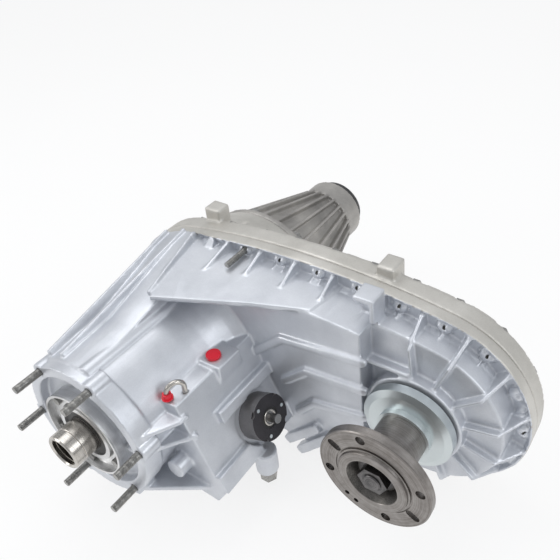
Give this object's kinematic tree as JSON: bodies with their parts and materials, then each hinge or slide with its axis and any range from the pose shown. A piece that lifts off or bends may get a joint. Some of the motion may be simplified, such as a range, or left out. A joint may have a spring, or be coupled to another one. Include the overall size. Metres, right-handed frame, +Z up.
{
  "type": "transfer case",
  "caption": "Cast aluminium part-time four-wheel-drive transfer case with planetary low range, chain-driven front output flange, side selector shaft and finned rear extension.",
  "frame": {"origin": "centre of the input mounting face, where the six adapter studs leave the case, on the axis of the input and main shafts", "axes": "+Y runs rearward along the main shaft to the tail, +X points towards the front output shaft, +Z is up"},
  "size_m": [0.5757, 0.5714, 0.287],
  "materials": {
    "cast_aluminium": "bead-blasted casting, satin silver",
    "machined_aluminium": "turned aluminium",
    "steel": "turned and ground steel",
    "dark_steel": "dark phosphated steel",
    "rusty_steel": "bare steel with a brown film of rust",
    "zinc_steel": "zinc-plated steel",
    "cast_pump": "die-cast pump body",
    "seal_rubber": "black nitrile rubber",
    "red_plastic": "soft red shipping plastic"
  },
  "bodies": {
    "case": {"front_case": "cast_aluminium", "rear_case": "cast_aluminium", "rear_extension": "cast_aluminium", "input_bearing_retainer": "machined_aluminium", "retainer_bolts": "zinc_steel", "adapter_studs": "zinc_steel", "input_seal": "seal_rubber", "input_bearing": "steel", "annulus_gear": "steel", "rear_bearing": "steel", "output_front_bearing": "steel", "output_rear_bearing": "steel", "bearing_snap_ring": "steel", "tail_bushing": "steel", "tail_seal": "seal_rubber", "case_bolts": "zinc_steel", "case_stud": "zinc_steel", "extension_bolts": "zinc_steel", "case_dowels": "steel", "drive_chain": "steel", "output_seal": "seal_rubber", "selector_retainer": "dark_steel", "selector_seal": "seal_rubber", "selector_screws": "zinc_steel", "shift_rail": "steel", "oil_pump": "cast_pump", "oil_pickup": "steel", "port_plug": "red_plastic", "drain_plug": "dark_steel", "vent_tube": "zinc_steel", "vent_cap": "red_plastic", "sump_magnet": "steel"},
    "input_shaft": {"input_shaft": "steel"},
    "planet_carrier": {"planet_carrier": "steel", "planet_pins": "steel"},
    "main_shaft": {"main_shaft": "steel", "mode_hub": "steel", "oil_pump_rotor": "steel"},
    "range_collar": {"range_collar": "steel"},
    "mode_collar": {"mode_collar": "steel"},
    "drive_sprocket": {"drive_sprocket": "steel", "drive_sprocket_sleeve": "steel"},
    "front_output": {"output_shaft": "steel", "output_flange": "rusty_steel", "flange_nut": "dark_steel", "flange_washer": "dark_steel", "dust_shield": "zinc_steel", "driven_sprocket": "steel"},
    "selector": {"selector_shaft": "dark_steel", "shift_sector": "steel"},
    "range_fork": {"range_fork": "steel"},
    "mode_fork": {"mode_fork": "steel"},
    "planet_gear_1": {"planet_gear_1": "steel"},
    "planet_gear_2": {"planet_gear_2": "steel"},
    "planet_gear_3": {"planet_gear_3": "steel"},
    "planet_gear_4": {"planet_gear_4": "steel"}
  },
  "joints": [
    {"name": "input_spin", "type": "hinge", "parent": "case", "child": "input_shaft", "pos_m": [0, 0, 0], "axis": [0, 1, 0], "continuous": true},
    {"name": "main_shaft_spin", "type": "hinge", "parent": "case", "child": "main_shaft", "pos_m": [0, 0, 0], "axis": [0, 1, 0], "continuous": true},
    {"name": "carrier_spin", "type": "hinge", "parent": "case", "child": "planet_carrier", "pos_m": [0, 0, 0], "axis": [0, 1, 0], "continuous": true},
    {"name": "drive_sprocket_spin", "type": "hinge", "parent": "case", "child": "drive_sprocket", "pos_m": [0, 0, 0], "axis": [0, 1, 0], "continuous": true},
    {"name": "front_output_spin", "type": "hinge", "parent": "case", "child": "front_output", "pos_m": [0.3127, 0, 0.0047], "axis": [0, 1, 0], "continuous": true},
    {"name": "planet_1_spin", "type": "hinge", "parent": "planet_carrier", "child": "planet_gear_1", "pos_m": [0.0595, 0, 0], "axis": [0, 1, 0], "continuous": true},
    {"name": "planet_2_spin", "type": "hinge", "parent": "planet_carrier", "child": "planet_gear_2", "pos_m": [0, 0, 0.0595], "axis": [0, 1, 0], "continuous": true},
    {"name": "planet_3_spin", "type": "hinge", "parent": "planet_carrier", "child": "planet_gear_3", "pos_m": [-0.0595, 0, 0], "axis": [0, 1, 0], "continuous": true},
    {"name": "planet_4_spin", "type": "hinge", "parent": "planet_carrier", "child": "planet_gear_4", "pos_m": [0, 0, -0.0595], "axis": [0, 1, 0], "continuous": true},
    {"name": "selector_turn", "type": "hinge", "parent": "case", "child": "selector", "pos_m": [0.12895, 0.1364, -0.03892], "axis": [0.9317, 0, 0.3633], "range_deg": [0, 48]},
    {"name": "range_fork_slide", "type": "slide", "parent": "case", "child": "range_fork", "axis": [0, 1, 0], "range_m": [0, 0.016]},
    {"name": "range_collar_slide", "type": "slide", "parent": "main_shaft", "child": "range_collar", "axis": [0, 1, 0], "range_m": [0, 0.016]},
    {"name": "mode_fork_slide", "type": "slide", "parent": "case", "child": "mode_fork", "axis": [0, 1, 0], "range_m": [0, 0.012]},
    {"name": "mode_collar_slide", "type": "slide", "parent": "main_shaft", "child": "mode_collar", "axis": [0, 1, 0], "range_m": [0, 0.012]}
  ],
  "couplings": [
    {"joint": "main_shaft_spin", "follows": "input_spin", "ratio": 1},
    {"joint": "carrier_spin", "follows": "input_spin", "ratio": 0.36765},
    {"joint": "drive_sprocket_spin", "follows": "input_spin", "ratio": 1},
    {"joint": "front_output_spin", "follows": "input_spin", "ratio": 1},
    {"joint": "planet_1_spin", "follows": "input_spin", "ratio": -1.7565},
    {"joint": "planet_2_spin", "follows": "input_spin", "ratio": -1.7565},
    {"joint": "planet_3_spin", "follows": "input_spin", "ratio": -1.7565},
    {"joint": "planet_4_spin", "follows": "input_spin", "ratio": -1.7565},
    {"joint": "selector_turn", "follows": "range_fork_slide", "rad_per_m": 52.36},
    {"joint": "range_collar_slide", "follows": "range_fork_slide", "ratio": 1},
    {"joint": "mode_collar_slide", "follows": "mode_fork_slide", "ratio": 1}
  ]
}
